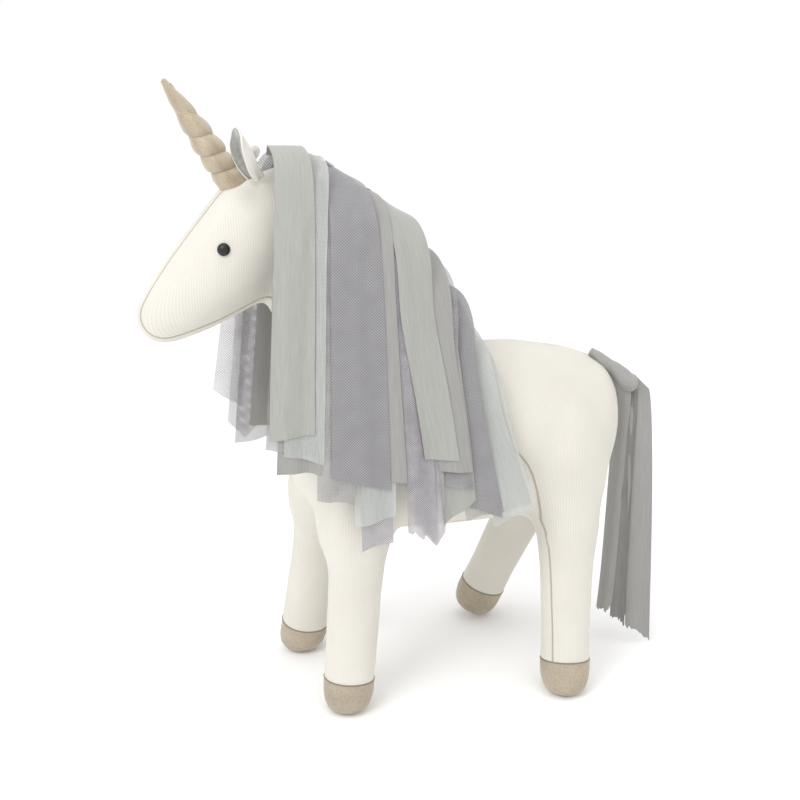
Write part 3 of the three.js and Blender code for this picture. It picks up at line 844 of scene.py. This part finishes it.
def ear_sheet(side, inset, nu=22, nv=20):
    base, tip, facing = EARS[side]
    axis = tip - base
    height = axis.length
    axis.normalize()
    facing = (facing - axis * facing.dot(axis)).normalized()
    sideways = axis.cross(facing)
    rows, uvs = [], []
    for j in range(nv + 1):
        v = j / nv
        half = EAR_HALF_WIDTH * math.sin(math.pi * (0.24 + 0.62 * v)) ** 0.6
        bend = 2.0 - 1.1 * v
        radius = half / bend
        row, uv = [], []
        for i in range(nu + 1):
            u = i / nu
            roll = (u - 0.5) * 2 * bend
            wave = 0.0004 * math.sin(9 * v + 5 * u) + 0.0007 * (1 - v) ** 2 * math.sin(30 * u)
            centre = base + axis * (v * height * (1 - 0.16 * v * (2 * u - 1) ** 2)) + facing * radius
            out = -facing * math.cos(roll) + sideways * math.sin(roll)
            row.append(centre + out * max(radius - inset + wave, 0.0002))
            uv.append((u * 2 * half, v * height))
        rows.append(row)
        uvs.append(uv)
    return rows, uvs


for side in ("left", "right"):
    for name, inset, thick, material, node, slot in (
        ("outer", 0.0, 0.0014, JERSEY, f"ear_{side}_outer", "jersey"),
        ("lining", 0.0012, 0.0010, VELVET, f"ear_{side}_lining", "velvet"),
    ):
        rows, uvs = ear_sheet(side, inset)
        mesh = grid_mesh(f"ear_{side}_{name}", rows, uvs)
        o = add_object(f"ear_cloth_{side}_{name}", mesh, material)
        cloth = mesh.attributes.new("cloth3", "FLOAT_VECTOR", "POINT")
        seams = mesh.attributes.new("seam", "FLOAT", "POINT")
        seams.data.foreach_set("value", [0.05] * len(mesh.vertices))
        modifier(o, "SOLIDIFY", thickness=thick, offset=1 if name == "outer" else 1)
        modifier(o, "SUBSURF", levels=1, render_levels=1)
        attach(o, f"ear_{side}")
        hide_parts(node)

# ---------- mane ----------
CREST_MM = [(-92, 338.5), (-67, 335), (-46.5, 320), (-29.5, 301.5), (-15, 279.5), (-3.5, 256),
            (9, 238.5), (24, 229.5)]
CREST = [at(x, 0, z) for x, z in CREST_MM]
LOCKS = {  # the neck's half width under the lock and the flare of its foot, as in the CAD, in mm
    "front": (45, 50),
    "middle": (52, 60),
    "rear": (54, 63),
    "withers": (53, 62),
}
PUFF = [(0, 5), (0.10, 6), (0.2, 1), (0.3, 3), (0.36, 6), (0.43, 9), (0.5, 6), (0.57, 8),
        (0.64, 12), (0.71, 14), (0.79, 9), (0.86, 4), (1, 1)]
CLOTH_GAP = 0.0007  # from one ribbon to the next, and from a ribbon to the skin
LIFT_CAP = 0.016
NETS = ("tulle", "lilac", "sheer", "dense")


def puff(t):
    """How far the outer ribbons stand off the crest, in mm, at a place along it."""
    for (t0, p0), (t1, p1) in zip(PUFF, PUFF[1:]):
        if t <= t1:
            return p0 + (p1 - p0) * (t - t0) / (t1 - t0)
    return PUFF[-1][1]


def ribbon_path(lock, way, crest, foot_x, foot_z, loft, flare=None):
    """From the tape, over the crest, and down the side of the neck to the ribbon's foot."""
    tx, tz = body_mm(spline(CREST, crest))
    ahead = spline(CREST, min(crest + 0.02, 1)) - spline(CREST, max(crest - 0.02, 0))
    outward = Vector((-ahead.z, 0, ahead.x)).normalized()
    side, foot_flare = LOCKS[lock]
    flare = flare or foot_flare
    rise = 2.5 + puff(crest) * loft
    ridge = at(tx, -way * 0.5, tz) + outward * rise * MM
    rx, rz = body_mm(ridge)
    over = rise * 0.55
    return [
        at(tx, -way * 1.5, tz) + outward * 0.0018,
        ridge + Vector((0, way * 0.004, 0)),
        at(rx + (foot_x - rx) * 0.10, way * (10 + 0.30 * side + over), rz - 6),
        at(rx + (foot_x - rx) * 0.30, way * (0.86 * side), rz - 26),
        at(tx + (foot_x - tx) * 0.55, way * side, tz - 55),
        at(tx + (foot_x - tx) * 0.78, way * (side + 0.5 * (flare - side)),
           tz - 55 + (foot_z - tz + 55) * 0.5),
        at(foot_x, way * flare, foot_z),
    ]


def arc_table(path, steps=60):
    points = [spline(path, k / steps) for k in range(steps + 1)]
    lengths = [0.0]
    for a, b in zip(points, points[1:]):
        lengths.append(lengths[-1] + (b - a).length)
    return lengths


def settle(rows, normals, trees, rounds=14):
    """Pushes a sheet out along its normals until it lies on what is under it, and then eases its bumps."""
    reach = 0.045
    needed = np.full((len(rows), len(rows[0])), -1.0)
    for j, (row, around) in enumerate(zip(rows, normals)):
        for i, (p, n) in enumerate(zip(row, around)):
            for tree in trees:
                distance = tree.ray_cast(p + n * reach, -n, reach + 0.010)[3]
                if distance is not None:
                    needed[j, i] = max(needed[j, i], reach - distance + CLOTH_GAP)
    needed = np.minimum(needed, LIFT_CAP)
    lift = np.maximum(needed, 0)
    for _ in range(rounds):
        padded = np.pad(lift, 1, mode="edge")
        eased = (padded[:-2, 1:-1] + padded[2:, 1:-1]) * 0.3 + (padded[1:-1, :-2] + padded[1:-1, 2:]) * 0.2
        lift = np.maximum(needed, eased * 0.97)
    return [[p + n * lift[j, i] for i, (p, n) in enumerate(zip(row, around))]
            for j, (row, around) in enumerate(zip(rows, normals))]


def ribbon(name, body, path, width, material, seed, ends="straight", side_at_top=None, gather=1.0,
           side_at_foot=Vector((1, 0, 0)), outward=Vector((0, -1, 0)), fold=0.0016,
           trees=None, foot_width=None):
    """A ribbon of cloth along a path: side directions give the way its width runs at its top and foot."""
    rng = random.Random(seed)
    lengths = arc_table(path)
    total = lengths[-1]
    nu, nv = 12, max(20, int(total / 0.004))
    phase, waves = rng.uniform(0, 6.28), rng.uniform(0.7, 1.3)
    lean = rng.uniform(-0.12, 0.12)
    teeth = [rng.uniform(-0.003, 0.003) for _ in range(nu + 1)]
    slant = rng.uniform(-0.003, 0.003)
    foot_width = foot_width or width
    rows, uvs, normals = [], [], []
    steps = len(lengths) - 1
    last = None
    for j in range(nv + 1):
        goal = total * j / nv
        k = next(i for i in range(steps) if lengths[i + 1] >= goal - 1e-9)
        t = (k + (goal - lengths[k]) / max(lengths[k + 1] - lengths[k], 1e-9)) / steps
        p = spline(path, t)
        ahead = spline(path, min(t + 0.01, 1)) - spline(path, max(t - 0.01, 0))
        s = min(1.0, t / 0.5)
        s = s * s * (3 - 2 * s)
        across = ((side_at_top or side_at_foot) * (1 - s) + side_at_foot * s).normalized()
        normal = across.cross(ahead).normalized()
        wrong_way = normal.z < 0 if side_at_top else normal.dot(outward) < 0
        if last is None and wrong_way:
            normal = -normal
        if last is not None and normal.dot(last) < 0:
            normal = -normal
        last = normal
        free = max(0.0, t - 0.2) / 0.8
        wide = width * (gather + (1 - gather) * min(1.0, t * 3)) + (foot_width - width) * t
        row, uv, around = [], [], []
        for i in range(nu + 1):
            u = i / nu
            x = (u - 0.5) * wide
            swing = 0.0010 * free * math.sin(3.1 * t * waves * 2 + phase)
            curl = fold * free * math.sin(math.pi * 2 * waves * u + phase + 1.2 * t)
            curl += 0.0004 * noise.noise(Vector((x * 60, goal * 25, seed * 3.7)))
            q = p + across * (x + lean * free * 0.015 + swing) + normal * (curl + fold * free)
            cloth_v = goal
            if t > 0.8:
                end = (t - 0.8) / 0.2
                extra = slant * (u - 0.5) * 2
                if ends == "jagged":
                    extra += teeth[i]
                if ends == "point":
                    extra += -0.012 * abs(u - 0.65) * 2
                if ends == "slant":
                    extra += 0.008 * (u - 0.5)
                if ends == "torn":
                    extra += teeth[i] * 0.7 + 0.014 * (u - 0.5)
                if ends == "back":
                    extra += -0.008 * (u - 0.5)
                q = q + ahead.normalized() * extra * end
                cloth_v += extra * end
            row.append(q)
            around.append(normal)
            uv.append((u * (width + (foot_width - width) * t) + seed * 0.013, cloth_v))
        rows.append(row)
        normals.append(around)
        uvs.append(uv)
    if trees is not None:
        rows = settle(rows, normals, trees)
    mesh = grid_mesh(name, rows, uvs)
    if trees is not None:
        faces = [tuple(f.vertices) for f in mesh.polygons]
        trees.append(BVHTree.FromPolygons([v.co for v in mesh.vertices], faces))
    o = add_object(name, mesh, CLOTHS[material])
    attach(o, body)
    return o


# Each ribbon, from the innermost out: lock, place on the crest, foot x and z in mm, width at the
# crest and at the foot in mm, cloth, how much it puffs off the crest, cut.
LEFT_RIBBONS = [
    ("withers", 0.90, 42, 132, 22, 24, "pale", 0.2, "back"),
    ("withers", 0.80, 37, 127, 22, 26, "pale", 0.4, "back"),
    ("rear", 0.68, 21, 130, 22, 24, "tulle", 0.4, "back"),
    ("rear", 0.66, 19, 133, 22, 22, "dense", 0.7, "slant"),
    ("middle", 0.30, -45, 117, 22, 19, "lilac", 0.1, "back"),
    ("middle", 0.32, -46.6, 133, 22, 24, "pale", 0.1, "straight"),
    ("middle", 0.22, -70, 148, 20, 22, "tulle", 0.2, "slant"),
    ("middle", 0.34, -31, 149, 20, 22, "grey", 0.2, "point"),
    ("rear", 0.56, 6, 134, 22, 22, "chiffon", 0.6, "back"),
    ("rear", 0.58, 4, 150, 22, 20, "tulle", 0.9, "slant"),
    ("middle", 0.42, -12, 113, 22, 17, "lilac", 0.5, "point"),
    ("middle", 0.38, -19, 120, 22, 17, "lilac", 0.5, "jagged"),
    ("rear", 0.52, 2, 160, 22, 20, "grey", 1.0, "slant"),
    ("middle", 0.40, -8, 168, 23, 20, "chiffon", 1.0, "slant"),
    ("middle", 0.28, -42, 158, 22, 26, "grey", 0.9, "slant"),
    ("middle", 0.22, -55, 158, 20, 35, "dense", 0.7, "slant"),
    ("front", 0.07, -100, 178, 16, 18, "lilac", 0.1, "slant"),
    ("front", 0.07, -91, 165, 20, 24, "grey", 0.2, "straight"),
    ("front", 0.11, -88, 174, 20, 22, "pale", 0.3, "slant"),
    ("front", 0.048, -92.5, 187, 19, 25, "chiffon", 1.0, "straight"),
]
RIGHT_RIBBONS = [
    ("withers", 0.92, 28, 124, 24, 26, "pale", 0.3, "slant"),
    ("withers", 0.82, 14, 120, 24, 26, "lilac", 0.3, "slant"),
    ("rear", 0.70, -2, 114, 24, 26, "chiffon", 0.3, "jagged"),
    ("rear", 0.60, -14, 126, 24, 26, "grey", 0.3, "slant"),
    ("rear", 0.52, -28, 118, 24, 26, "lilac", 0.4, "point"),
    ("middle", 0.44, -40, 128, 24, 26, "chiffon", 0.4, "slant"),
    ("middle", 0.36, -52, 134, 24, 28, "grey", 0.4, "slant"),
    ("middle", 0.28, -66, 122, 24, 26, "tulle", 0.3, "jagged"),
    ("front", 0.16, -90, 160, 20, 26, "grey", 0.2, "slant"),
    ("front", 0.12, -98, 151, 20, 22, "tulle", 0.3, "straight"),
    ("front", 0.09, -108, 152, 18, 20, "sheer", 0.3, "point"),
    ("front", 0.07, -114, 181, 16, 20, "sheer", 0.4, "slant"),
    ("withers", 0.86, 20, 130, 24, 26, "dense", 0.5, "slant"),
    ("rear", 0.74, 4, 128, 24, 26, "chiffon", 0.8, "slant"),
    ("rear", 0.64, -9, 134, 24, 26, "lilac", 0.9, "slant"),
    ("rear", 0.55, -22, 132, 24, 26, "chiffon", 0.9, "slant"),
    ("middle", 0.44, -36, 146, 26, 30, "dense", 1.0, "slant"),
    ("middle", 0.34, -56, 150, 26, 30, "chiffon", 0.8, "slant"),
    ("middle", 0.25, -76, 158, 24, 28, "lilac", 0.6, "slant"),
]
skin_tree = BVHTree.FromPolygons(*SKIN_SHELL)
stood_for = set()
for side, way, table in (("left", -1, LEFT_RIBBONS), ("right", 1, RIGHT_RIBBONS)):
    trees = [skin_tree]
    for k, (lock, crest, foot_x, foot_z, width, foot_width, material, loft, ends) in enumerate(table):
        path = ribbon_path(lock, way, crest, foot_x, foot_z, loft)
        along = (spline(CREST, min(crest + 0.03, 1)) - spline(CREST, max(crest - 0.03, 0))).normalized()
        slot = "tulle" if material in NETS else "chiffon"
        o = ribbon(f"mane_ribbon_{side}_{k:02d}", f"mane_{side}_{lock}", path, width * MM, material,
                   k + 40 * (way > 0), ends, side_at_top=along, outward=Vector((0, way, 0)), trees=trees,
                   foot_width=foot_width * MM)
        if (side, lock) not in stood_for:
            stood_for.add((side, lock))
            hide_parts(f"mane_{side}_{lock}")

# ---------- tail ----------
ROOT, KNEE = at(114.6, -3.5, 209.4), at(141.4, -14.5, 186.5)
TAIL_RIBBONS = [
    (147, -6, 20, 141, -9, 12, 16, "shade", 95, "jagged"),
    (134, -7, 33, 136, -9, 10, 10, "shade", 80, "jagged"),
    (129, -12, 27.6, 135, -13, 10, 10, "grey", 30, "jagged"),
    (139, -16, 18.2, 138.5, -14, 10, 10, "shade", 30, "jagged"),
    (155, -17, 14, 147.5, -12, 10, 12, "dense", 50, "jagged"),
    (151.4, -20, 9, 143.6, -15.5, 15, 17, "grey", 16, "torn"),
]
for k, (fx, fy, fz, tx, ty, width, foot_width, material, turn, ends) in enumerate(TAIL_RIBBONS):
    path = [at(tx - 8, ty + 2, 194), at(tx - 3, ty, 188), at(tx, ty, 180),
            at(tx + (fx - tx) * 0.3, ty + (fy - ty) * 0.4, 140),
            at(tx + (fx - tx) * 0.7, ty + (fy - ty) * 0.8, 70), at(fx, fy, fz)]
    a = math.radians(turn)
    facing = Vector((math.cos(a), -math.sin(a), 0))
    slot = "tulle" if material in NETS else "chiffon"
    o = ribbon(f"tail_ribbon_{k}", "tail_locks", path, width * MM, material, 90 + k, ends, gather=0.8,
               side_at_foot=facing, outward=Vector((math.sin(a), -math.cos(a), 0)), fold=0.0009,
               foot_width=foot_width * MM)
    if k == 0:
        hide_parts("tail_lock_outer", "tail_lock_middle", "tail_lock_inner")

rows, uvs, AROUND, ALONG = [], [], 40, 40
run = KNEE - ROOT
sleeve_side = run.cross(Vector((0, 0, 1))).normalized()
sleeve_up = sleeve_side.cross(run).normalized()
for j in range(ALONG + 1):
    t = j / ALONG
    centre = ROOT + run * t + Vector((0, 0, 0.0008)) * math.sin(math.pi * t)
    wide = 0.0045 + 0.0050 * t + 0.0008 * math.sin(9 * t)
    tall = 0.0024 + 0.0040 * t
    if t > 0.93:
        wide, tall = wide * (1 - (t - 0.93) * 5), tall * (1 - (t - 0.93) * 5)
    row, uv = [], []
    for i in range(AROUND + 1):
        a = 2 * math.pi * i / AROUND
        crumple = noise.noise(Vector((math.cos(a) * 2, math.sin(a) * 2, t * 9)))
        ridge = 1 + 0.07 * math.sin(3 * a + 14 * t) + 0.05 * crumple
        row.append(centre + sleeve_side * math.cos(a) * wide * ridge + sleeve_up * math.sin(a) * tall * ridge)
        uv.append((a * 0.009, t * run.length))
    rows.append(row)
    uvs.append(uv)
mesh = grid_mesh("tail_sleeve", rows, uvs)
bm = bmesh.new()
bm.from_mesh(mesh)
bmesh.ops.remove_doubles(bm, verts=bm.verts, dist=1e-6)
bmesh.ops.holes_fill(bm, edges=[e for e in bm.edges if e.is_boundary])
bmesh.ops.recalc_face_normals(bm, faces=bm.faces)
bm.to_mesh(mesh)
bm.free()
sleeve = add_object("tail_sleeve", mesh, CLOTHS["grey"])
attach(sleeve, "tail_wrap")
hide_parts("tail_wrap")

# ---------- mane tape: the CAD's own strip, in chiffon ----------
tape = frame["nodes"]["mane_tape"]
for s in tape.material_slots:
    s.material = CLOTHS["grey"]

# ---------- camera, floor and light ----------
camera = bpy.data.objects.new("camera", bpy.data.cameras.new("camera"))
bpy.context.scene.collection.objects.link(camera)
camera.location = at(-217.7, -689.9, 413.5)
aim = at(-14.6, -4.1, 188)
camera.rotation_euler = (aim - camera.location).to_track_quat("-Z", "Y").to_euler()
camera.data.sensor_width = 36
camera.data.lens = 54.09
camera.data.clip_start, camera.data.clip_end = 0.01, 20
bpy.context.scene.camera = camera

floor_mesh = mesh_from("floor", [(-40, -40, 0), (40, -40, 0), (40, 40, 0), (-40, 40, 0)], [(0, 1, 2, 3)])
m, nodes, links, shader = new_material("floor")
shader.inputs["Base Color"].default_value = (0.96, 0.96, 0.96, 1)
shader.inputs["Emission Color"].default_value = (1, 1, 1, 1)
shader.inputs["Emission Strength"].default_value = 0.04
shader.inputs["Roughness"].default_value = 0.9
shader.inputs["Specular IOR Level"].default_value = 0.1
floor = add_object("floor", floor_mesh, m, smooth=False)
floor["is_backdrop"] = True

world = bpy.data.worlds.new("studio")
bpy.context.scene.world = world
world.use_nodes = True
world.node_tree.nodes["Background"].inputs[0].default_value = (1, 1, 1, 1)
world.node_tree.nodes["Background"].inputs[1].default_value = 1.0


def lamp(name, where, size, power, target=Vector((0, 0, 0.17))):
    data = bpy.data.lights.new(name, "AREA")
    data.shape = "DISK"
    data.size = size
    data.energy = power
    o = bpy.data.objects.new(name, data)
    bpy.context.scene.collection.objects.link(o)
    o.location = where
    o.rotation_euler = (target - Vector(where)).to_track_quat("-Z", "Y").to_euler()


lamp("key", (-0.9, -0.7, 1.2), 0.7, 7)
lamp("top", (0.0, -0.2, 1.6), 1.0, 4)
bpy.context.scene.view_settings.view_transform = "Standard"

low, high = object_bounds()
